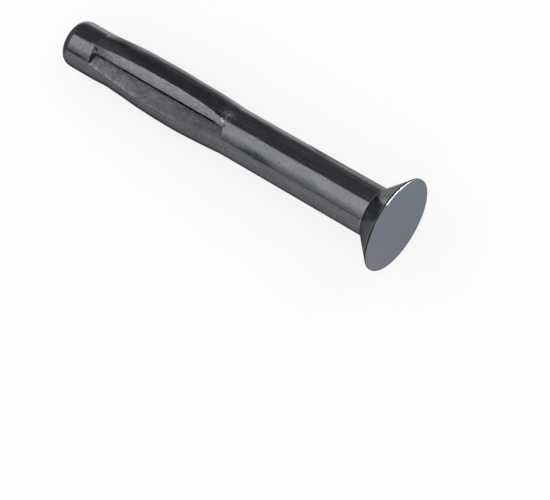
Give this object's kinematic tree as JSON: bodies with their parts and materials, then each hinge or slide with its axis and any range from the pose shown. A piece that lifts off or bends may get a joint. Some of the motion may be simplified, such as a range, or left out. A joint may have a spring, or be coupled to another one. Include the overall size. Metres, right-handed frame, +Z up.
{
  "type": "split drive anchor",
  "caption": "Solid steel drive anchor with a flat countersunk head and a round shank that is split near the tip into oppositely bowed half-round legs.",
  "frame": {"origin": "centre of the bounding box at the surface the anchor lies on", "axes": "+X from the tip towards the head, +Z up, the anchor lying on its head rim and on the edge of its tip, with one sheared leg face upwards"},
  "size_m": [0.0512, 0.0122, 0.0122],
  "materials": {
    "zinc_steel": "bright zinc plating over cold-headed wire, smooth on the head and shank, rough where the legs were sheared and pressed"
  },
  "bodies": {
    "root": {"anchor": "zinc_steel"}
  },
  "joints": []
}
